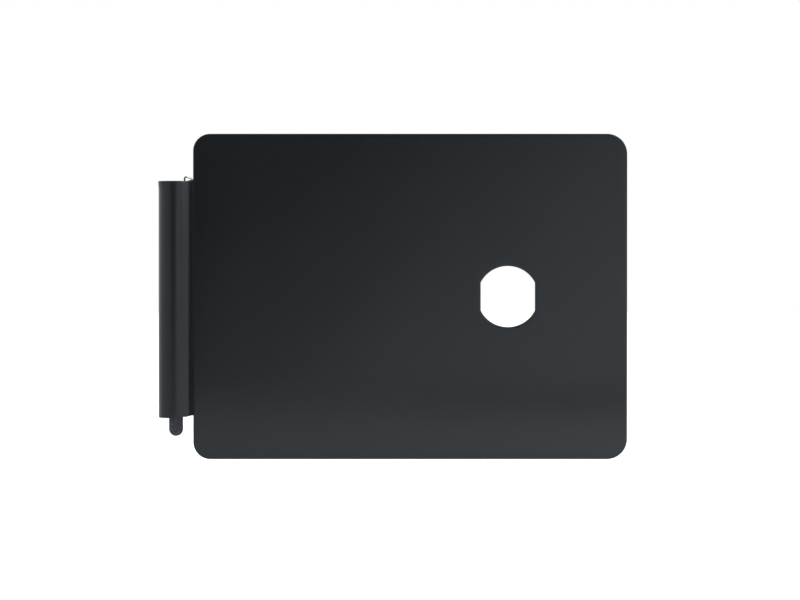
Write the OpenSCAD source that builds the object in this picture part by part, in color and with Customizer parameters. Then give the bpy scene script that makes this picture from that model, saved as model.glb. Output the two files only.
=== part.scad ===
// Sprung flap plate: a flat steel sheet whose one edge is rolled into a hinge
// knuckle. A keyed spindle, two bushes and two springs sit inside the knuckle.
//
// Millimetres. The origin is on the hinge axis at the knuckle's lower end, where
// the tang leaves it. +X runs from the knuckle to the free edge, +Z up the hinge
// axis, and the plate's front, the side the knuckle bulges from, faces -Y.

/* [Plate] */
// Width of the flat plate, from its hinge side to its free edge
plate_w = 160; // [120:1:240]
// Height of the plate
plate_h = 120; // [100:1:200]
// Thickness of the sheet the plate and the knuckle are made of
sheet_t = 2; // [1.5:0.1:2.2]
// Corner radius on the hinge side
hinge_corner_r = 6.3; // [3:0.1:12]
// Corner radius at the free edge
free_corner_r = 7.4; // [3:0.1:20]

/* [Lock cut-out] */
// Diameter of the round part of the cut-out
lock_d = 22.5; // [19:0.1:24]
// Width of the cut-out across its two upright flats
lock_flats = 20; // [16:0.1:22]
// Distance from the free edge to the middle of the cut-out
lock_inset = 44; // [25:1:60]

/* [Knuckle] */
// Outside diameter of the rolled knuckle
knuckle_d = 12.7; // [12.3:0.1:13.2]
// Height of the knuckle
knuckle_h = 87; // [84:1:96]
// Distance from the hinge axis to the plate's hinge-side edge
axis_to_edge = 6.1; // [5.9:0.1:8]
// How far the knuckle's middle sits below the plate's middle
knuckle_drop = 0.4; // [0:0.1:4]
// Angle at which the rolled edge stops short of the plate's front, in degrees
curl_end = 37; // [30:1:38]

/* [Spindle] */
// Diameter of the spindle
spindle_d = 5.2; // [4.8:0.1:5.4]
// Thickness of the tang across its two flats
tang_t = 3.5; // [2.5:0.1:3.8]
// How far the tang stands out below the knuckle
tang_out = 7.3; // [5:0.1:9]
// Travel of the spindle into the knuckle
press_travel = 6.5; // [3:0.1:6.5]

/* [Bushes] */
// Diameter of the socket for the upper stud
socket_d = 4; // [3:0.1:4]
// Depth of the socket for the upper stud
socket_depth = 8; // [5:0.5:9]
// Height of the upper bush
top_bush_h = 10; // [10:0.5:12]
// Height of the keyed lower bush
keyed_bush_h = 12; // [10:0.5:14]
// Radial running clearance of the moving fits
run_gap = 0.05; // [0.03:0.01:0.1]

/* [Springs] */
// Wire diameter of the torsion spring
torsion_wire_d = 0.6; // [0.5:0.02:0.76]
// Number of turns of the torsion spring
torsion_turns = 24; // [15:1:26]
// Wire diameter of the plunger spring
plunger_wire_d = 0.45; // [0.3:0.05:0.5]
// Number of turns of the plunger spring
plunger_turns = 12; // [8:1:16]

/* [Hidden] */
knuckle_r = knuckle_d / 2;
bore_r = knuckle_r - sheet_t;
mid_z = knuckle_h / 2 + knuckle_drop;
plate_x0 = axis_to_edge;
plate_x1 = plate_x0 + plate_w;
back_y = knuckle_r;
front_y = knuckle_r - sheet_t;
lock_x = plate_x1 - lock_inset;

spindle_r = spindle_d / 2;
tip_z = -tang_out;
bush_out = 0.2;
bush_z0 = -bush_out;
bush_z1 = bush_z0 + keyed_bush_h;
bush_r = bore_r - run_gap;
groove_depth = 0.5;
groove_w = 1.8;
groove_z = bush_z0 + keyed_bush_h / 2;
bevel_x = 0;
bevel_angle = 9;
dimple_r = 0.7;
dimple_angles = [100, 158];
washer_t = 0.5;
washer_z0 = bush_z1 + 0.02;
washer_z1 = washer_z0 + washer_t;
shoulder_z = washer_z1 + 0.03;
nose_r = 1.5;
nose_h = 6;

top_fit = 0.02;
top_recess = 0.8;
top_z1 = knuckle_h - top_recess;
top_z0 = top_z1 - top_bush_h;
spigot_r = 1.5;
spigot_h = 4;

torsion_wire_r = torsion_wire_d / 2;
torsion_r = spindle_r + 0.2 + torsion_wire_r;
torsion_z0 = washer_z1 + torsion_wire_r + 0.1;
torsion_z1 = top_z0 - torsion_wire_r - 1.5;
hook_angle = 32.3;
hook_in_r = bore_r - torsion_wire_r - 0.09;
hook_out_r = knuckle_r + torsion_wire_r + 0.34;
hook_crest_z = knuckle_h + 0.95;
hook_tail = 1.6;
leg_depth = 5;
leg_gap = 0.08;

plunger_wire_r = plunger_wire_d / 2;
plunger_r = spindle_r - 0.15 - plunger_wire_r;
plunger_len = 4.5 * press_travel + plunger_turns * plunger_wire_d;
spindle_top = top_z0 - plunger_len;
plunger_z0 = spindle_top + plunger_wire_r;
plunger_z1 = top_z0 - plunger_wire_r;

wire_sides = 6;
turn_steps = 12;

steel_black = [0.12, 0.13, 0.15];
steel_pin = [0.25, 0.26, 0.28];
steel_wire = [0.45, 0.46, 0.48];
nylon = [0.08, 0.08, 0.08];
zinc = [0.62, 0.62, 0.64];

$fn = 96;

// Rounded plate outline in the sheet's own plane, drawn from two squares and
// four circles so that every corner stays a true arc.
module plate_outline() {
    low = mid_z - plate_h / 2;
    for (side = [-1, 1]) {
        translate([plate_x0 + hinge_corner_r, mid_z + side * (plate_h / 2 - hinge_corner_r)])
            circle(r = hinge_corner_r);
        translate([plate_x1 - free_corner_r, mid_z + side * (plate_h / 2 - free_corner_r)])
            circle(r = free_corner_r);
    }
    translate([plate_x0, low + hinge_corner_r])
        square([plate_w - free_corner_r, plate_h - 2 * hinge_corner_r]);
    translate([plate_x0 + hinge_corner_r, low])
        square([plate_w - hinge_corner_r - free_corner_r, plate_h]);
    translate([plate_x1 - 2 * free_corner_r, low + free_corner_r])
        square([2 * free_corner_r, plate_h - 2 * free_corner_r]);
}

// Lays a drawing made in X and Z flat in the sheet, from its front to its back.
module in_sheet(extra = 0) {
    translate([0, back_y + extra, 0])
        rotate([90, 0, 0])
            linear_extrude(height = sheet_t + 2 * extra)
                children();
}

// Round hole with two upright flats, for a quarter-turn lock.
module lock_outline() {
    translate([lock_x, mid_z])
        intersection() {
            circle(d = lock_d);
            square([lock_flats, lock_d + 2], center = true);
        }
}

// The sheet's edge rolled round the hinge axis, and the tab that leads to it.
module rolled_knuckle() {
    rotate([0, 0, 90])
        rotate_extrude(angle = 270 + curl_end)
            translate([bore_r, 0])
                square([sheet_t, knuckle_h]);
    translate([0, front_y, 0])
        cube([plate_x0 + 2, sheet_t, knuckle_h]);
}

// The rolled edge's lower corner slopes up a little towards the plate.
module lower_bevel() {
    translate([bevel_x, -knuckle_d, 0])
        rotate([0, -bevel_angle, 0])
            translate([0, 0, -2])
                cube([knuckle_d, knuckle_d + front_y - 0.2, 2]);
}

// Shallow pits pressed into the knuckle's back, whose bumps inside hold the
// keyed bush by its groove.
module dimple_pits() {
    for (a = dimple_angles)
        rotate([0, 0, a])
            translate([knuckle_r + 0.25, 0, groove_z])
                sphere(r = dimple_r + 0.1, $fn = 32);
}

module dimple_bumps() {
    for (a = dimple_angles)
        rotate([0, 0, a])
            translate([bore_r - 0.35, 0, groove_z])
                rotate([0, 90, 0])
                    cylinder(r = dimple_r, h = 1, $fn = 32);
}

module kick_plate() {
    color(steel_black)
        difference() {
            union() {
                in_sheet() plate_outline();
                rolled_knuckle();
                dimple_bumps();
            }
            in_sheet(1) lock_outline();
            dimple_pits();
            lower_bevel();
        }
}

// A round bar with two flats, drawn across.
module double_d(d, across) {
    intersection() {
        circle(d = d);
        square([d + 2, across], center = true);
    }
}

module spindle() {
    color(steel_pin) {
        // Flat-sided tang with a full-round tip, up to the shoulder.
        intersection() {
            union() {
                translate([0, 0, tip_z + spindle_r])
                    sphere(r = spindle_r);
                translate([0, 0, tip_z + spindle_r])
                    cylinder(r = spindle_r, h = spindle_top - tip_z - spindle_r);
            }
            union() {
                translate([-spindle_d, -tang_t / 2, tip_z - 1])
                    cube([2 * spindle_d, tang_t, shoulder_z - tip_z + 1.5]);
                translate([-spindle_d, -spindle_d, shoulder_z])
                    cube([2 * spindle_d, 2 * spindle_d, spindle_top - shoulder_z + 1]);
            }
        }
        // Nose that guides the plunger spring.
        translate([0, 0, spindle_top - 0.5])
            cylinder(r = nose_r, h = nose_h + 0.5);
    }
}

module keyed_bush() {
    color(nylon)
        difference() {
            translate([0, 0, bush_z0])
                cylinder(r = bush_r, h = keyed_bush_h);
            translate([0, 0, bush_z0 - 1])
                linear_extrude(height = keyed_bush_h + 2)
                    double_d(spindle_d + 2 * run_gap, tang_t + 2 * run_gap);
            // Retaining groove.
            translate([0, 0, groove_z - groove_w / 2])
                difference() {
                    cylinder(r = bush_r + 1, h = groove_w);
                    translate([0, 0, -1])
                        cylinder(r = bush_r - groove_depth, h = groove_w + 2);
                }
            // Hole for the torsion spring's lower leg.
            translate([0, torsion_r, bush_z1 - leg_depth - 0.5])
                cylinder(r = torsion_wire_r + leg_gap, h = leg_depth + 2, $fn = 32);
        }
}

module thrust_washer() {
    color(zinc)
        translate([0, 0, washer_z0])
            difference() {
                cylinder(r = bore_r - 0.15, h = washer_t);
                translate([0, 0, -1])
                    linear_extrude(height = washer_t + 2)
                        double_d(spindle_d + 0.2, tang_t + 0.2);
                translate([0, torsion_r, -1])
                    cylinder(r = torsion_wire_r + 0.12, h = washer_t + 2, $fn = 32);
            }
}

module top_bush() {
    color(nylon)
        difference() {
            union() {
                translate([0, 0, top_z0])
                    cylinder(r = bore_r - top_fit, h = top_bush_h);
                translate([0, 0, top_z0 - spigot_h])
                    cylinder(r = spigot_r, h = spigot_h + 1);
            }
            translate([0, 0, top_z1 - socket_depth])
                cylinder(d = socket_d, h = socket_depth + 1);
            // Notch that lets the torsion spring's upper leg pass.
            rotate([0, 0, hook_angle])
                translate([hook_in_r - torsion_wire_r - 0.1, -torsion_wire_r - 0.1, top_z0 - 1])
                    cube([3, 2 * torsion_wire_r + 0.2, top_bush_h + 2]);
        }
}

// Helpers for round wire swept along a path of points.
function unit(v) = v / norm(v);
function tangent(path, i) =
    unit(path[min(i + 1, len(path) - 1)] - path[max(i - 1, 0)]);
function across_dir(t) =
    abs(t[2]) > 0.9 ? unit(cross(t, [0, 1, 0])) : unit(cross(t, [0, 0, 1]));
function moved_normal(n, t) = unit(n - (n * t) * t);
function path_normals(path, i = 0, normals = []) =
    i == len(path) ? normals
    : path_normals(path, i + 1, concat(normals, [
        i == 0 ? across_dir(tangent(path, 0))
               : moved_normal(normals[i - 1], tangent(path, i))
    ]));

module wire(path, r) {
    normals = path_normals(path);
    count = len(path);
    points = [
        for (i = [0 : count - 1])
            let (n = normals[i], b = cross(tangent(path, i), n))
                for (k = [0 : wire_sides - 1])
                    let (a = 360 * k / wire_sides)
                        path[i] + r * (cos(a) * n + sin(a) * b)
    ];
    sides = [
        for (i = [0 : count - 2])
            for (k = [0 : wire_sides - 1])
                let (next = (k + 1) % wire_sides, low = i * wire_sides, high = low + wire_sides)
                    for (corner = [[low + k, high + k, high + next], [low + k, high + next, low + next]])
                        corner
    ];
    start_cap = [for (k = [0 : wire_sides - 1]) k];
    end_cap = [for (k = [wire_sides - 1 : -1 : 0]) (count - 1) * wire_sides + k];
    polyhedron(points = points, faces = concat([start_cap], sides, [end_cap]), convexity = 10);
}

function coil(r, z0, z1, turns, start, turn_part = 0) =
    let (steps = round((turns + turn_part) * turn_steps))
        [for (i = [0 : steps])
            let (a = start + 360 * i / turn_steps)
                [r * cos(a), r * sin(a), z0 + (z1 - z0) * i / steps]];

module torsion_spring() {
    leg = [[0, torsion_r, bush_z1 - leg_depth], [0, torsion_r, torsion_z0 - 0.25]];
    body = coil(torsion_r, torsion_z0, torsion_z1, torsion_turns, 105, 9 / 12);
    // Straight up the bore, a tight bend, a sloping arm over the rim, and a tail.
    hook = [
        [hook_in_r, torsion_z1 + 1.2],
        [hook_in_r, hook_crest_z - 0.7],
        [hook_in_r + 0.2, hook_crest_z - 0.2],
        [hook_in_r + 0.6, hook_crest_z],
        [hook_out_r - 0.6, hook_crest_z - 0.4],
        [hook_out_r - 0.15, hook_crest_z - 0.7],
        [hook_out_r, hook_crest_z - 1.15],
        [hook_out_r, hook_crest_z - 1.15 - hook_tail]
    ];
    hook_path = [for (p = hook) [p[0] * cos(hook_angle), p[0] * sin(hook_angle), p[1]]];
    color(steel_wire)
        wire(concat(leg, body, hook_path), torsion_wire_r);
}

module plunger_spring() {
    color(steel_wire)
        wire(coil(plunger_r, plunger_z0, plunger_z1, plunger_turns, 0), plunger_wire_r);
}

kick_plate();
spindle();
keyed_bush();
thrust_washer();
torsion_spring();
plunger_spring();
top_bush();
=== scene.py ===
"""Looks of the sprung flap plate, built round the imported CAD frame."""

import math

import bmesh
import bpy
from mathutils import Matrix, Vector, geometry, noise


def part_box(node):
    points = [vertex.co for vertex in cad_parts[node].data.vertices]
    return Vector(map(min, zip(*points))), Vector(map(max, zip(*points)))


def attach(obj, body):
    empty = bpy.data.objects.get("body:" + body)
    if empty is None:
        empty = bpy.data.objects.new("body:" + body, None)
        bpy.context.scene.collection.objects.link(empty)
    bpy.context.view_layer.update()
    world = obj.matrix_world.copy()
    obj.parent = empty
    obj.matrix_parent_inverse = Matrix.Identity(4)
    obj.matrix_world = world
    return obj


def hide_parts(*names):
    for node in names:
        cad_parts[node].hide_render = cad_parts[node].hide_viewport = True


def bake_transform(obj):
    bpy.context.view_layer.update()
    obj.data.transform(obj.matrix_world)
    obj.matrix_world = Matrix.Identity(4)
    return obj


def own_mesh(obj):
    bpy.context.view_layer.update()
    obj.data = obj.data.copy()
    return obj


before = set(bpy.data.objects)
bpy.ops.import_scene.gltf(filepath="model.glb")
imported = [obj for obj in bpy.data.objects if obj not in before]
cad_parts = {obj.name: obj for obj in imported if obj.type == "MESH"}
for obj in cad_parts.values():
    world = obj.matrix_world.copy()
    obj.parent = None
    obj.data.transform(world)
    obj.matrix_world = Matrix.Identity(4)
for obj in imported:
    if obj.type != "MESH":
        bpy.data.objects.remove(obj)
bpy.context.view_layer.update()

MM = 0.001
TAU = 2 * math.pi

# ---------------------------------------------------------------- sizes

plate_lo, plate_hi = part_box("kick_plate")
bush_lo, bush_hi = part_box("keyed_bush")
top_lo, top_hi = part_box("top_bush")
pin_lo, pin_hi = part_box("spindle")
coil_lo, coil_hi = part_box("torsion_spring")
push_lo, push_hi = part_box("plunger_spring")
WASHER_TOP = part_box("thrust_washer")[1][2]

# The sheet, and the knuckle rolled from its edge.
SHEET_T = 2 * MM
KNUCKLE_R = -plate_lo[0]
BORE_R = KNUCKLE_R - SHEET_T
MID_R = KNUCKLE_R - SHEET_T / 2
PLATE_W = 160 * MM
PLATE_X1 = plate_hi[0]
PLATE_X0 = PLATE_X1 - PLATE_W
PLATE_Z0 = plate_lo[2]
PLATE_Z1 = plate_hi[2]
MID_Z = (PLATE_Z0 + PLATE_Z1) / 2
KNUCKLE_DROP = 0.4 * MM
KNUCKLE_Z1 = 2 * (MID_Z - KNUCKLE_DROP)
CURL_END = math.radians(37)
CURL_LENGTH = (1.5 * math.pi + CURL_END) * MID_R
BEVEL_SLOPE = math.tan(math.radians(9))
HINGE_CORNER_R = 6.3 * MM
FREE_CORNER_R = 7.4 * MM
EDGE_R = 0.3 * MM

# The double-D lock cut-out.
LOCK_X = PLATE_X1 - 44 * MM
LOCK_R = 11.25 * MM
LOCK_HALF = 10 * MM

# Pits that stake the keyed bush, as degrees round the knuckle from +X.
DIMPLE_ANGLES = (100, 158)
DIMPLE_Z = (bush_lo[2] + bush_hi[2]) / 2
DIMPLE_R = 0.95 * MM
DIMPLE_DEPTH = 0.36 * MM
DIMPLE_FLOOR = 0.15 * DIMPLE_R

# The roll sits low, by these amounts at its top and its foot, and flares at its top.
LOW_AT_TOP = 0.58 * MM
LOW_AT_FOOT = 0.53 * MM
TOP_FADE = (-5.6 * MM, -3.2 * MM)
FOOT_FADE = (0, 6 * MM)
FLARE = 0.22 * MM
FLARE_H = 1.5 * MM

# Waviness of the flat sheet: its size, then the length of each of its two waves
# along u and v with the slice of the noise it takes, and where both fade in along u.
WAVE_SIZE = 0.055 * MM
SLOW_WAVE = (62 * MM, 50 * MM, 3.7)
FINE_WAVE = (26 * MM, 30 * MM, 9.1)
FINE_SHARE = 0.22
WAVE_FADE = (8 * MM, 30 * MM)

# Mesh density of the sheet.
EDGE_STEP = 2.5 * MM
GRID_STEP = 2.6 * MM
GRID_START = 1.2 * MM
RIM_GAP = 0.9 * MM
CURL_RIM_GAP = 0.8 * MM
CURL_STEPS = 112
CURL_LEVELS = 30
CURL_U = [-CURL_LENGTH * i / CURL_STEPS for i in range(CURL_STEPS + 1)]
HINGE_CORNER_STEPS = 14
FREE_CORNER_STEPS = 16
LOCK_STEPS = 40
DIMPLE_RINGS = 5
DIMPLE_POINTS = 20
DIMPLE_CLEAR = 1.15 * DIMPLE_R
RIM_BENDS = 4

# ---------------------------------------------------------------- helpers


def new_object(name, bm, smooth=True):
    mesh = bpy.data.meshes.new(name)
    bm.to_mesh(mesh)
    bm.free()
    obj = bpy.data.objects.new(name, mesh)
    bpy.context.collection.objects.link(obj)
    for face in mesh.polygons:
        face.use_smooth = smooth
    return obj


def new_sheet(name, corners):
    """One flat four-sided face."""
    bm = bmesh.new()
    bm.faces.new([bm.verts.new(corner) for corner in corners])
    return new_object(name, bm, smooth=False)


def skin(name, rings):
    """Closed skin over rings of points, capped at both ends."""
    bm = bmesh.new()
    loops = [[bm.verts.new(point) for point in ring] for ring in rings]
    count = len(loops[0])
    for low, high in zip(loops, loops[1:]):
        for k in range(count):
            j = (k + 1) % count
            bm.faces.new((low[k], low[j], high[j], high[k]))
    bm.faces.new(list(reversed(loops[0])))
    bm.faces.new(loops[-1])
    bmesh.ops.recalc_face_normals(bm, faces=bm.faces)
    return new_object(name, bm)


def dress(obj, material):
    if not obj.material_slots:
        obj.data.materials.append(material)
    for part in obj.material_slots:
        part.material = material


def smoothstep(x, low, high):
    t = min(1.0, max(0.0, (x - low) / (high - low)))
    return t * t * (3 - 2 * t)


# ---------------------------------------------------------------- sheet blank


def curl_angle(u):
    """Angle round the hinge axis of a place on the rolled part of the sheet."""
    return math.pi / 2 - u / MID_R


def lower_edge(u):
    """Height of the blank's lower edge, which slopes up at the rolled end."""
    if u >= 0:
        return 0.0
    angle = curl_angle(u)
    if angle < 1.5 * math.pi:
        return 0.0
    return max(0.0, MID_R * math.cos(angle) * BEVEL_SLOPE)


def arc(cx, cz, r, start, end, steps):
    """Points along an arc between two angles in degrees, both ends included."""
    points = []
    for i in range(steps + 1):
        a = math.radians(start + (end - start) * i / steps)
        points.append((cx + r * math.cos(a), cz + r * math.sin(a)))
    return points


def line(a, b, step):
    """Points after a up to b, at most step apart."""
    count = max(1, math.ceil(math.dist(a, b) / step))
    return [
        (a[0] + (b[0] - a[0]) * i / count, a[1] + (b[1] - a[1]) * i / count)
        for i in range(1, count + 1)
    ]


def blank_outline():
    """The sheet before rolling, drawn flat: u along X and round the knuckle, v up."""
    rh, rf = HINGE_CORNER_R, FREE_CORNER_R
    hinge_steps, free_steps = HINGE_CORNER_STEPS, FREE_CORNER_STEPS
    loop = arc(PLATE_X0 + rh, PLATE_Z0 + rh, rh, 180, 270, hinge_steps)
    for corner in (
        arc(PLATE_X1 - rf, PLATE_Z0 + rf, rf, 270, 360, free_steps),
        arc(PLATE_X1 - rf, PLATE_Z1 - rf, rf, 0, 90, free_steps),
        arc(PLATE_X0 + rh, PLATE_Z1 - rh, rh, 90, 180, hinge_steps),
    ):
        loop += line(loop[-1], corner[0], EDGE_STEP)[:-1] + corner
    loop += line(loop[-1], (PLATE_X0, KNUCKLE_Z1), EDGE_STEP)
    loop += line(loop[-1], (0, KNUCKLE_Z1), EDGE_STEP / 2)
    loop += [(u, KNUCKLE_Z1) for u in CURL_U[1:]]
    loop += line(loop[-1], (CURL_U[-1], lower_edge(CURL_U[-1])), EDGE_STEP)
    loop += [(u, lower_edge(u)) for u in reversed(CURL_U[:-1])]
    loop += line(loop[-1], (PLATE_X0, 0), EDGE_STEP / 2)
    loop += line(loop[-1], loop[0], EDGE_STEP)[:-1]
    return loop


def lock_outline():
    """The cut-out: two arcs joined by two upright flats."""
    half = math.degrees(math.acos(LOCK_HALF / LOCK_R))
    top = arc(LOCK_X, MID_Z, LOCK_R, half, 180 - half, LOCK_STEPS)
    low = arc(LOCK_X, MID_Z, LOCK_R, 180 + half, 360 - half, LOCK_STEPS)
    loop = top + line(top[-1], low[0], EDGE_STEP / 2)[:-1] + low
    loop += line(loop[-1], loop[0], EDGE_STEP / 2)[:-1]
    return loop


def inset(loop, depth):
    """The loop moved to its left by depth, corners mitred."""
    moved = []
    count = len(loop)
    for i in range(count):
        before, here, after = loop[i - 1], loop[i], loop[(i + 1) % count]
        d0 = Vector((here[0] - before[0], here[1] - before[1])).normalized()
        d1 = Vector((after[0] - here[0], after[1] - here[1])).normalized()
        n0 = Vector((-d0.y, d0.x))
        n1 = Vector((-d1.y, d1.x))
        n = n0 + n1
        n = n * (2 / max(n.length_squared, 1e-9))
        moved.append((here[0] + n.x * depth, here[1] + n.y * depth))
    return moved


def inside(point, loop):
    x, y = point
    hit = False
    for i in range(len(loop)):
        x0, y0 = loop[i - 1]
        x1, y1 = loop[i]
        if (y0 > y) != (y1 > y) and x < x0 + (y - y0) * (x1 - x0) / (y1 - y0):
            hit = not hit
    return hit


def distance_to(point, loop):
    """Distance to the nearest of a loop's points."""
    return min(math.dist(point, p) for p in loop)


# ---------------------------------------------------------------- rolling


def wave(u, v):
    """Slight waviness of the flat sheet, out of its plane."""
    slow, fine = (
        noise.noise(Vector((u / along_u, v / along_v, part)))
        for along_u, along_v, part in (SLOW_WAVE, FINE_WAVE)
    )
    return WAVE_SIZE * (slow + FINE_SHARE * fine) * smoothstep(u, *WAVE_FADE)


def dimple(u, v):
    """Depth of the staking pits at a place on the roll."""
    sink = 0.0
    for degrees in DIMPLE_ANGLES:
        du = u + math.radians(degrees - 90) * MID_R
        d = math.hypot(du, v - DIMPLE_Z)
        sink += DIMPLE_DEPTH * (1 - smoothstep(d, DIMPLE_FLOOR, DIMPLE_R))
    return sink


def flare(u, v):
    """The roll's half away from the plate opens a little at its very top."""
    if u > 0:
        return 0.0
    side = max(0.0, -math.cos(curl_angle(u)))
    return side * FLARE * smoothstep(v, KNUCKLE_Z1 - FLARE_H, KNUCKLE_Z1)


def skew(u, v):
    """The rolled part sits a little low, as its roll isn't quite square."""
    above = LOW_AT_TOP * smoothstep(-u, *TOP_FADE)
    below = LOW_AT_FOOT * smoothstep(-u, *FOOT_FADE)
    return below + (above - below) * v / KNUCKLE_Z1


def rolled(u, v, w):
    """Where a place on the flat blank ends up once its edge is rolled."""
    w += flare(u, v) - dimple(u, v) + wave(u, v)
    v -= skew(u, v)
    if u >= 0:
        return Vector((u, MID_R + w, v))
    a = curl_angle(u)
    return Vector(((MID_R + w) * math.cos(a), (MID_R + w) * math.sin(a), v))


# ---------------------------------------------------------------- sheet mesh


def inner_points(outer, hole):
    """Grid points inside the blank, with rings of points round each dimple."""
    grid = []
    columns = math.floor(PLATE_X1 / GRID_STEP)
    rows = math.floor((PLATE_Z1 - PLATE_Z0) / GRID_STEP)
    for i in range(columns + 1):
        u = GRID_START + i * GRID_STEP
        for j in range(rows + 1):
            grid.append((u, PLATE_Z0 + (j + 0.5) * GRID_STEP))
    for u in CURL_U[:-1]:
        for j in range(1, CURL_LEVELS):
            grid.append((u, KNUCKLE_Z1 * j / CURL_LEVELS))
    centres = [(-math.radians(a - 90) * MID_R, DIMPLE_Z) for a in DIMPLE_ANGLES]
    grid = [p for p in grid if all(math.dist(p, c) > DIMPLE_CLEAR for c in centres)]
    last_angle = 360 - 360 / DIMPLE_POINTS
    for c in centres:
        grid.append(c)
        for ring in range(1, DIMPLE_RINGS + 1):
            r = DIMPLE_R * ring / DIMPLE_RINGS
            grid += arc(c[0], c[1], r, 0, last_angle, DIMPLE_POINTS - 1)
    kept = []
    for p in grid:
        if p[0] > 0:
            if distance_to(p, outer) < RIM_GAP or distance_to(p, hole) < RIM_GAP:
                continue
        elif p[1] < lower_edge(p[0]) + CURL_RIM_GAP or p[1] > KNUCKLE_Z1 - CURL_RIM_GAP:
            continue
        if inside(p, outer) and not inside(p, hole):
            kept.append(p)
    return kept


def fill_blank(outer, hole):
    """Triangles over the flat blank, and which outline points they use."""
    points = [Vector(p) for p in outer + hole + inner_points(outer, hole)]
    edges = []
    first = 0
    for loop in (outer, hole):
        count = len(loop)
        edges += [(first + i, first + (i + 1) % count) for i in range(count)]
        first += count
    result = geometry.delaunay_2d_cdt(points, edges, [], 0, 1e-7, True)
    places, triangles, origins = result[0], result[2], result[3]
    kept = []
    for triangle in triangles:
        middle = sum((places[i] for i in triangle), Vector((0, 0))) / len(triangle)
        if inside(middle, outer) and not inside(middle, hole):
            kept.append(triangle)
    return places, kept, origins


def lay_side(bm, side, places, triangles, origins):
    """One face of the sheet. Gives its vertices by their outline points."""
    verts = [bm.verts.new(rolled(p.x, p.y, side * SHEET_T / 2)) for p in places]
    for triangle in triangles:
        corners = [verts[i] for i in triangle]
        if side > 0:
            corners.reverse()
        bm.faces.new(corners)
    by_point = {}
    for vert, sources in zip(verts, origins):
        for source in sources:
            by_point[source] = vert
    return by_point


def round_rim(bm, rim, loop, first, sides):
    """Rounded edge along one outline, from the sheet's one face to the other."""
    count = len(loop)
    steps = [(-1, k) for k in range(1, RIM_BENDS + 1)]
    steps += [(1, k) for k in range(RIM_BENDS, 0, -1)]
    rings = [[sides[-1][first + i] for i in range(count)]]
    for side, k in steps:
        a = 0.5 * math.pi * k / RIM_BENDS
        moved = inset(loop, EDGE_R * (1 - math.sin(a)))
        w = side * (SHEET_T / 2 - EDGE_R * (1 - math.cos(a)))
        ring = []
        for u, v in moved:
            vert = bm.verts.new(rolled(u, v, w))
            vert[rim] = 1.0
            ring.append(vert)
        rings.append(ring)
    rings.append([sides[1][first + i] for i in range(count)])
    for low, high in zip(rings, rings[1:]):
        for i in range(count):
            j = (i + 1) % count
            bm.faces.new((low[i], high[i], high[j], low[j]))


def build_sheet():
    """The whole sheet: both faces rolled, and rounded rims between them."""
    outer = blank_outline()
    hole = lock_outline()
    hole.reverse()
    places, triangles, origins = fill_blank(inset(outer, EDGE_R), inset(hole, EDGE_R))

    bm = bmesh.new()
    rim = bm.verts.layers.float.new("rim")
    sides = {}
    for side in (-1, 1):
        sides[side] = lay_side(bm, side, places, triangles, origins)
    round_rim(bm, rim, outer, 0, sides)
    round_rim(bm, rim, hole, len(outer), sides)
    loose = [v for v in bm.verts if not v.link_faces]
    bmesh.ops.delete(bm, geom=loose, context="VERTS")
    bmesh.ops.recalc_face_normals(bm, faces=bm.faces)
    obj = new_object("flap_sheet", bm)
    weighted = obj.modifiers.new("weighted", "WEIGHTED_NORMAL")
    weighted.mode = "FACE_AREA"
    weighted.weight = 60
    return obj


# ---------------------------------------------------------------- springs

TURN_STEPS = 28
CAP_SIZES = (0.35, 0.7, 0.92)
CAP_REACH = 0.45


def sweep(name, path, radius, sides=14):
    """Round wire along a path, with rounded ends."""
    count = len(path)
    tangents = []
    for i in range(count):
        tangents.append((path[min(i + 1, count - 1)] - path[max(i - 1, 0)]).normalized())
    normal = tangents[0].orthogonal().normalized()
    sections = []
    for i, t in enumerate(tangents):
        normal = (normal - normal.dot(t) * t).normalized()
        sections.append((path[i], normal, t.cross(normal), 1.0))
    first, last = sections[0], sections[-1]
    reach = radius * CAP_REACH
    head = [
        (first[0] - tangents[0] * reach * (1 - size), first[1], first[2], size)
        for size in CAP_SIZES
    ]
    tail = [
        (last[0] + tangents[-1] * reach * (1 - size), last[1], last[2], size)
        for size in reversed(CAP_SIZES)
    ]
    rings = []
    for centre, n, b, size in head + sections + tail:
        ring = []
        for k in range(sides):
            a = TAU * k / sides
            ring.append(centre + radius * size * (math.cos(a) * n + math.sin(a) * b))
        rings.append(ring)
    return skin(name, rings)


def coil(radius, z0, z1, start, sweep_degrees):
    """Path of a helix from z0 to z1, starting at an angle in degrees."""
    steps = round(sweep_degrees / 360 * TURN_STEPS)
    points = []
    for i in range(steps + 1):
        a = math.radians(start + sweep_degrees * i / steps)
        z = z0 + (z1 - z0) * i / steps
        points.append(Vector((radius * math.cos(a), radius * math.sin(a), z)))
    return points


def rounded(points):
    """The path with its corners cut twice, so that the wire bends smoothly."""
    for _ in range(2):
        out = [points[0]]
        for a, b in zip(points, points[1:]):
            out.append(a * 0.75 + b * 0.25)
            out.append(a * 0.25 + b * 0.75)
        out.append(points[-1])
        points = out
    return points


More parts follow.
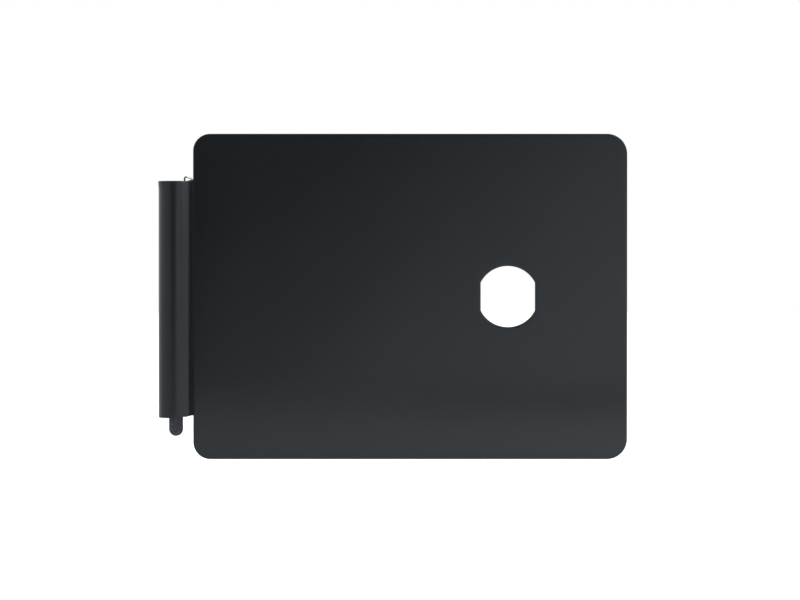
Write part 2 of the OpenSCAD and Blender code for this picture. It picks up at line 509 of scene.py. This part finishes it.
def build_torsion_spring():
    """Leg down into the bush, long coil, arm up and a hook over the knuckle's rim."""
    wire_r = 0.3 * MM
    turn_r = 3.1 * MM
    stem_h = 4 * MM
    first_angle = 105
    turns_degrees = 24.75 * 360
    hook_angle = math.radians(32.3)
    z0 = WASHER_TOP + wire_r + 0.1 * MM
    z1 = top_lo[2] + stem_h - wire_r - 1.5 * MM
    leg = [Vector((0, turn_r, coil_lo[2])), Vector((0, turn_r, z0 - 1.0 * MM))]
    turns = coil(turn_r, z0, z1, first_angle, turns_degrees)
    in_r = BORE_R - wire_r - 0.12 * MM
    out_r = KNUCKLE_R + wire_r + 0.34 * MM
    crest = coil_hi[2] - wire_r
    hook = [
        (in_r, z1 + 1.2 * MM),
        (in_r, z1 + 2.4 * MM),
        (in_r, top_hi[2] - 0.4 * MM),
        (in_r - 0.25 * MM, KNUCKLE_Z1 - 0.3 * MM),
        (in_r - 0.25 * MM, crest - 0.5 * MM),
        (in_r + 0.1 * MM, crest),
        (in_r + 0.6 * MM, crest),
        (out_r - 0.6 * MM, crest - 0.5 * MM),
        (out_r, crest - 0.75 * MM),
        (out_r, crest - 2.4 * MM),
    ]
    end = [Vector((r * math.cos(hook_angle), r * math.sin(hook_angle), z)) for r, z in hook]
    path = rounded(leg + turns[:1])[:-1] + turns + rounded([turns[-1]] + end)[1:]
    return sweep("return_spring", path, wire_r)


def build_plunger_spring():
    """Compression spring with a closed turn and a quarter at each end."""
    wire_r = 0.225 * MM
    dead_pitch = 0.5 * MM
    dead_turns = 1.25
    live_turns = 10
    radius = push_hi[0] - wire_r
    z0 = push_lo[2] + wire_r
    z1 = push_hi[2] - wire_r
    dead = dead_turns * 360
    live = live_turns * 360
    low = coil(radius, z0, z0 + dead_pitch * dead_turns, 0, dead)
    middle = coil(radius, z0 + dead_pitch * dead_turns, z1 - dead_pitch * dead_turns, dead, live - dead)
    high = coil(radius, z1 - dead_pitch * dead_turns, z1, live, dead)
    return sweep("push_spring", low + middle[1:] + high[1:], wire_r, sides=10)


# ---------------------------------------------------------------- spindle

SPINDLE_SIDES = 72
TIP_STEPS = 14
FLAT_HALF = 1.75 * MM
FLAT_SOFT = 0.12 * MM
NOSE_R = 1.5 * MM


def spindle_profile():
    """Rows of height, radius and half-distance between flats, from the tip up."""
    r = pin_hi[0]
    shoulder = WASHER_TOP + 0.03 * MM
    bar_top = push_lo[2]
    nose_top = pin_hi[2]
    rows = []
    tip_centre = pin_lo[2] + r
    for k in range(1, TIP_STEPS + 1):
        a = math.radians(90 * k / TIP_STEPS)
        rows.append((tip_centre - r * math.cos(a), r * math.sin(a), FLAT_HALF))
    z = tip_centre
    while z < shoulder - 0.8 * MM:
        z += 0.7 * MM
        rows.append((z, r, FLAT_HALF))
    rows.append((shoulder - 0.06 * MM, r, FLAT_HALF))
    rows.append((shoulder + 0.1 * MM, r - 0.08 * MM, r))
    z = shoulder + 0.25 * MM
    rows.append((z, r, r))
    while z < bar_top - 2 * MM:
        z += 1.5 * MM
        rows.append((z, r, r))
    for dz, dr in ((-0.35, 0), (-0.1, 0.12), (0, 0.35)):
        rows.append((bar_top + dz * MM, r - dr * MM, r))
    rows.append((bar_top, NOSE_R + 0.15 * MM, r))
    rows.append((bar_top + 0.15 * MM, NOSE_R, r))
    for dz, dr in ((-0.5, 0), (-0.1, 0.25), (0, 0.6)):
        rows.append((nose_top + dz * MM, NOSE_R - dr * MM, r))
    return rows


def build_spindle():
    """Round bar with two milled flats, a full-round tip and a spring nose."""
    bar_r = pin_hi[0]
    rings = []
    for z, radius, flat in spindle_profile():
        ring = []
        start = flat - FLAT_SOFT
        for k in range(SPINDLE_SIDES):
            a = TAU * k / SPINDLE_SIDES
            x = radius * math.cos(a)
            y = radius * math.sin(a)
            over = abs(y) - start
            if over > 0 and flat < bar_r:
                y = math.copysign(start + FLAT_SOFT * math.tanh(over / FLAT_SOFT), y)
            ring.append((x, y, z))
        rings.append(ring)
    return skin("keyed_spindle", rings)


# ---------------------------------------------------------------- shader helpers


def rgb(red, green, blue):
    return (red, green, blue, 1.0)


def grey(value):
    return rgb(value, value, value)


class Graph:
    """Short calls for building a node tree."""

    def __init__(self, tree):
        self.tree = tree
        tree.nodes.clear()

    def node(self, kind, **settings):
        made = self.tree.nodes.new(kind)
        for key, value in settings.items():
            setattr(made, key, value)
        return made

    def link(self, value, socket):
        if isinstance(value, bpy.types.NodeSocket):
            self.tree.links.new(value, socket)
        else:
            socket.default_value = value

    def math(self, kind, a, b):
        made = self.node("ShaderNodeMath", operation=kind)
        self.link(a, made.inputs[0])
        self.link(b, made.inputs[1])
        return made.outputs[0]

    def add(self, a, b):
        return self.math("ADD", a, b)

    def sub(self, a, b):
        return self.math("SUBTRACT", a, b)

    def mul(self, a, b):
        return self.math("MULTIPLY", a, b)

    def ramp(self, x, low, high, start=0.0, end=1.0):
        """Smooth step of x between low and high, from start to end."""
        made = self.node("ShaderNodeMapRange", interpolation_type="SMOOTHSTEP")
        for key, value in (
            ("Value", x),
            ("From Min", low),
            ("From Max", high),
            ("To Min", start),
            ("To Max", end),
        ):
            self.link(value, made.inputs[key])
        return made.outputs[0]

    def noise(self, place, scale, detail, rough=0.5):
        made = self.node("ShaderNodeTexNoise")
        self.link(place, made.inputs["Vector"])
        made.inputs["Scale"].default_value = scale
        made.inputs["Detail"].default_value = detail
        made.inputs["Roughness"].default_value = rough
        return made.outputs["Fac"]

    def mix(self, share, a, b):
        """Colour a where share is 0 and colour b where it is 1."""
        made = self.node("ShaderNodeMix", data_type="RGBA")
        self.link(share, made.inputs[0])
        self.link(a, made.inputs[6])
        self.link(b, made.inputs[7])
        return made.outputs[2]

    def bump(self, height, strength, distance, normal=None):
        made = self.node("ShaderNodeBump")
        made.inputs["Strength"].default_value = strength
        made.inputs["Distance"].default_value = distance
        self.link(height, made.inputs["Height"])
        if normal is not None:
            self.link(normal, made.inputs["Normal"])
        return made.outputs["Normal"]

    def scaled(self, place, x, y, z):
        made = self.node("ShaderNodeVectorMath", operation="MULTIPLY")
        self.link(place, made.inputs[0])
        made.inputs[1].default_value = (x, y, z)
        return made.outputs[0]

    def split(self, place):
        """The three coordinates of a place, as sockets named X, Y and Z."""
        made = self.node("ShaderNodeSeparateXYZ")
        self.link(place, made.inputs[0])
        return made.outputs


def new_material(name):
    material = bpy.data.materials.new(name)
    material.use_nodes = True
    g = Graph(material.node_tree)
    out = g.node("ShaderNodeOutputMaterial")
    shader = g.node("ShaderNodeBsdfPrincipled")
    g.link(shader.outputs[0], out.inputs["Surface"])
    place = g.node("ShaderNodeTexCoord").outputs["Object"]
    return material, g, shader.inputs, place


# ---------------------------------------------------------------- materials


def powder_coat():
    """Semi-gloss black powder coat: orange peel, slight clouding, rubbed rims."""
    material, g, surface, place = new_material("black_powder_coat")
    cloud = g.noise(place, scale=22, detail=3)
    grain = g.noise(place, scale=900, detail=2)
    base = g.mix(cloud, rgb(0.0052, 0.0066, 0.0082), rgb(0.0098, 0.0116, 0.0134))
    speckle = g.ramp(grain, 0.35, 0.75, end=0.25)
    base = g.mix(speckle, base, rgb(0.016, 0.018, 0.02))
    rim = g.node("ShaderNodeAttribute", attribute_name="rim").outputs["Fac"]
    chips = g.ramp(g.noise(place, scale=260, detail=4, rough=0.7), 0.52, 0.72)
    rubbed = g.mul(g.mul(rim, chips), 0.35)
    base = g.mix(rubbed, base, rgb(0.075, 0.078, 0.08))
    g.link(base, surface["Base Color"])

    rough = g.add(g.ramp(cloud, 0.3, 0.7, start=0.055, end=0.08), g.mul(grain, 0.03))
    rough = g.add(rough, g.mul(rubbed, 0.3))
    # The coat lies rougher round the knuckle, where the sheet is rolled.
    rolled_part = g.ramp(g.split(place)["X"], 5.5 * MM, 4 * MM, end=0.15)
    rough = g.add(rough, rolled_part)
    g.link(rough, surface["Roughness"])

    peel = g.noise(place, scale=620, detail=1.5)
    normal = g.bump(peel, strength=0.16, distance=0.02 * MM)
    dust = g.noise(place, scale=3200, detail=1)
    normal = g.bump(dust, strength=0.08, distance=0.006 * MM, normal=normal)
    g.link(normal, surface["Normal"])
    surface["Specular IOR Level"].default_value = 0.5
    return material


def blackened_steel():
    """Blackened bar steel with drawing marks, brighter in worn patches."""
    material, g, surface, place = new_material("blackened_steel")
    draw = g.noise(g.scaled(place, 1, 1, 0.06), scale=5200, detail=3, rough=0.6)
    patch = g.noise(place, scale=700, detail=3, rough=0.6)
    worn = g.ramp(patch, 0.45, 0.7)
    base = g.mix(draw, rgb(0.045, 0.046, 0.05), rgb(0.085, 0.086, 0.09))
    base = g.mix(g.mul(worn, 0.5), base, rgb(0.17, 0.165, 0.155))
    g.link(base, surface["Base Color"])
    g.link(g.add(g.mul(draw, 0.18), 0.3), surface["Roughness"])
    surface["Metallic"].default_value = 0.85
    g.link(g.bump(draw, strength=0.25, distance=0.01 * MM), surface["Normal"])
    return material


def spring_wire():
    """Spring wire: dark and patchy, with a fine bumpy skin."""
    material, g, surface, place = new_material("spring_wire")
    patch = g.noise(place, scale=900, detail=3, rough=0.6)
    base = g.mix(patch, rgb(0.022, 0.023, 0.025), rgb(0.075, 0.074, 0.072))
    # The hook's arm is rubbed bright where it bears on the knuckle's rim.
    parts = g.split(place)
    high = g.ramp(parts["Z"], KNUCKLE_Z1 - 0.1 * MM, KNUCKLE_Z1 + 0.2 * MM)
    arm = g.mul(high, g.ramp(parts["X"], 3.6 * MM, 4.2 * MM))
    g.link(g.mix(arm, base, rgb(0.6, 0.59, 0.57)), surface["Base Color"])
    g.link(g.ramp(patch, 0.3, 0.7, start=0.38, end=0.55), surface["Roughness"])
    g.link(g.add(g.mul(arm, 0.5), 0.5), surface["Metallic"])
    skin_noise = g.noise(place, scale=6000, detail=2)
    g.link(g.bump(skin_noise, strength=0.15, distance=0.005 * MM), surface["Normal"])
    return material


def bush_nylon():
    """Moulded black nylon, matte with a fine sparked texture."""
    material, g, surface, place = new_material("bush_nylon")
    fleck = g.noise(place, scale=1500, detail=3, rough=0.6)
    g.link(g.mix(fleck, rgb(0.018, 0.018, 0.019), rgb(0.034, 0.034, 0.035)), surface["Base Color"])
    g.link(g.ramp(fleck, 0.3, 0.7, start=0.45, end=0.62), surface["Roughness"])
    sparks = g.noise(place, scale=2600, detail=2)
    g.link(g.bump(sparks, strength=0.3, distance=0.01 * MM), surface["Normal"])
    return material


def zinc_plate():
    """Zinc plating with soft spangle."""
    material, g, surface, place = new_material("zinc_plate")
    patch = g.noise(place, scale=1200, detail=3, rough=0.6)
    g.link(g.mix(patch, rgb(0.42, 0.43, 0.45), rgb(0.62, 0.62, 0.61)), surface["Base Color"])
    g.link(g.ramp(patch, 0.3, 0.7, start=0.25, end=0.42), surface["Roughness"])
    surface["Metallic"].default_value = 1.0
    g.link(g.bump(patch, strength=0.15, distance=0.01 * MM), surface["Normal"])
    return material


# ---------------------------------------------------------------- the object


def finish_piece(obj, material, node):
    """Material for a piece, and the CAD node that it stands for hidden."""
    dress(obj, material)
    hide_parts(node)


nylon = bush_nylon()
wire = spring_wire()

sheet = build_sheet()
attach(sheet, "flap")
finish_piece(sheet, powder_coat(), "kick_plate")

spindle = build_spindle()
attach(spindle, "spindle")
finish_piece(spindle, blackened_steel(), "spindle")

return_spring = build_torsion_spring()
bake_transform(return_spring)
finish_piece(return_spring, wire, "torsion_spring")

push_spring = build_plunger_spring()
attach(push_spring, "flap")
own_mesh(push_spring)
finish_piece(push_spring, wire, "plunger_spring")

for name, material in (
    ("keyed_bush", nylon),
    ("top_bush", nylon),
    ("thrust_washer", zinc_plate()),
):
    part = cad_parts[name]
    dress(part, material)
    bevel = part.modifiers.new("edges", "BEVEL")
    bevel.width = 0.12 * MM
    bevel.segments = 2
    bevel.limit_method = "ANGLE"
    bevel.angle_limit = math.radians(40)

# ---------------------------------------------------------------- studio

SENSOR_WIDTH = 36
VIEW_PITCH = math.radians(0.9)
VIEW_DISTANCE = 1.4
VIEW_WIDTH = 0.2940
VIEW_AIM = Vector((0.08235, 0, MID_Z - 0.0012))

FLOOR_DROP = 7 * MM
FLOOR_LEFT, FLOOR_RIGHT = -4, 4
FLOOR_FRONT, FLOOR_BACK = -0.9, 3.2
FLOOR_LIFT = 0.75

STUDIO_TINT = rgb(0.93, 0.97, 1.0)
DIFFUSE_CUT = 0.65
CARD_Y = -2.6
CARD_HALF = 1.6
CARD_LIGHT = 0.9
CARD_DARK = 0.15

LAMP_TINT = (0.88, 0.97, 1.05)
# Name, place, target, width, height and watts.
LAMPS = (
    ("overhead", (0.3, 0.05, 1.1), (0.12, 0.0, 0.0), 1.4, 1.2, 3),
    ("side", (0.38, -0.28, 0.26), (0.2, -0.25, 0.0), 0.4, 0.4, 1.3),
    ("floor_wash", (0.08, 1.4, 1.8), (0.08, 1.2, -0.02), 3, 3, 22),
)


def build_camera():
    """Long lens almost square to the plate's front, looking down very slightly."""
    data = bpy.data.cameras.new("camera")
    data.sensor_width = SENSOR_WIDTH
    data.lens = SENSOR_WIDTH * VIEW_DISTANCE / VIEW_WIDTH
    data.clip_start = 0.01
    data.clip_end = 50
    camera = bpy.data.objects.new("camera", data)
    bpy.context.collection.objects.link(camera)
    back = Vector((0, -math.cos(VIEW_PITCH), math.sin(VIEW_PITCH)))
    camera.location = VIEW_AIM + back * VIEW_DISTANCE
    camera.rotation_euler = (-back).to_track_quat("-Z", "Y").to_euler()
    bpy.context.scene.camera = camera


def build_floor():
    """Plain pale floor, low enough for the flap to sink as its spindle is pressed."""
    z = PLATE_Z0 - FLOOR_DROP
    floor = new_sheet(
        "floor",
        (
            (FLOOR_LEFT, FLOOR_FRONT, z),
            (FLOOR_RIGHT, FLOOR_FRONT, z),
            (FLOOR_RIGHT, FLOOR_BACK, z),
            (FLOOR_LEFT, FLOOR_BACK, z),
        ),
    )
    material, g, surface, place = new_material("floor_white")
    g.link(g.mix(g.noise(place, scale=3, detail=2), grey(0.86), grey(0.9)), surface["Base Color"])
    surface["Roughness"].default_value = 0.7
    surface["Specular IOR Level"].default_value = 0.2
    # Only the camera sees this glow, which makes the floor as white as the background.
    ray = g.node("ShaderNodeLightPath").outputs["Is Camera Ray"]
    surface["Emission Color"].default_value = grey(1.0)
    g.link(g.mul(ray, FLOOR_LIFT), surface["Emission Strength"])
    dress(floor, material)


def build_lamp(name, place, target, width, height, watts):
    data = bpy.data.lights.new(name, "AREA")
    data.shape = "RECTANGLE"
    data.size = width
    data.size_y = height
    data.energy = watts
    data.color = LAMP_TINT
    lamp = bpy.data.objects.new(name, data)
    lamp.location = place
    way = Vector(target) - Vector(place)
    lamp.rotation_euler = way.to_track_quat("-Z", "Y").to_euler()
    bpy.context.collection.objects.link(lamp)


def build_world():
    """White to the camera; to other rays bright behind and above, dimmer in front."""
    world = bpy.data.worlds.new("studio")
    bpy.context.scene.world = world
    world.use_nodes = True
    g = Graph(world.node_tree)
    out = g.node("ShaderNodeOutputWorld")
    ray = g.node("ShaderNodeLightPath").outputs
    way = g.split(g.node("ShaderNodeTexCoord").outputs["Generated"])
    round_sides = g.ramp(way["Y"], -0.9, 0.4, start=0.55, end=1.0)
    overhead = g.ramp(way["Z"], 0.1, 0.7, end=0.9)
    glow = g.math("MAXIMUM", round_sides, overhead)
    # Matte surfaces get about a third of the light that reflections see.
    share = g.sub(1, g.mul(ray["Is Diffuse Ray"], DIFFUSE_CUT))
    seen = g.node("ShaderNodeBackground")
    g.link(grey(1.0), seen.inputs[0])
    g.link(1.0, seen.inputs[1])
    lit = g.node("ShaderNodeBackground")
    g.link(STUDIO_TINT, lit.inputs[0])
    g.link(g.mul(glow, share), lit.inputs[1])
    both = g.node("ShaderNodeMixShader")
    g.link(ray["Is Camera Ray"], both.inputs[0])
    g.link(lit.outputs[0], both.inputs[1])
    g.link(seen.outputs[0], both.inputs[2])
    g.link(both.outputs[0], out.inputs["Surface"])


def build_card():
    """Plain card behind the camera, fading from its lower right to its upper left."""
    half = CARD_HALF
    card = new_sheet(
        "studio_card",
        ((-half, CARD_Y, -half), (half, CARD_Y, -half), (half, CARD_Y, half), (-half, CARD_Y, half)),
    )
    material = bpy.data.materials.new("studio_card")
    material.use_nodes = True
    g = Graph(material.node_tree)
    parts = g.split(g.node("ShaderNodeTexCoord").outputs["Object"])
    slant = g.sub(parts["Z"], g.mul(parts["X"], 0.8))
    glow = g.node("ShaderNodeEmission")
    g.link(STUDIO_TINT, glow.inputs[0])
    g.link(g.ramp(slant, -0.35, 0.25, start=CARD_LIGHT, end=CARD_DARK), glow.inputs[1])
    g.link(glow.outputs[0], g.node("ShaderNodeOutputMaterial").inputs["Surface"])
    dress(card, material)
    card.visible_camera = False


build_camera()
build_floor()
build_world()
build_card()
for lamp in LAMPS:
    build_lamp(*lamp)

view = bpy.context.scene.view_settings
view.view_transform = "Standard"
view.look = "None"
view.exposure = 0
view.gamma = 1
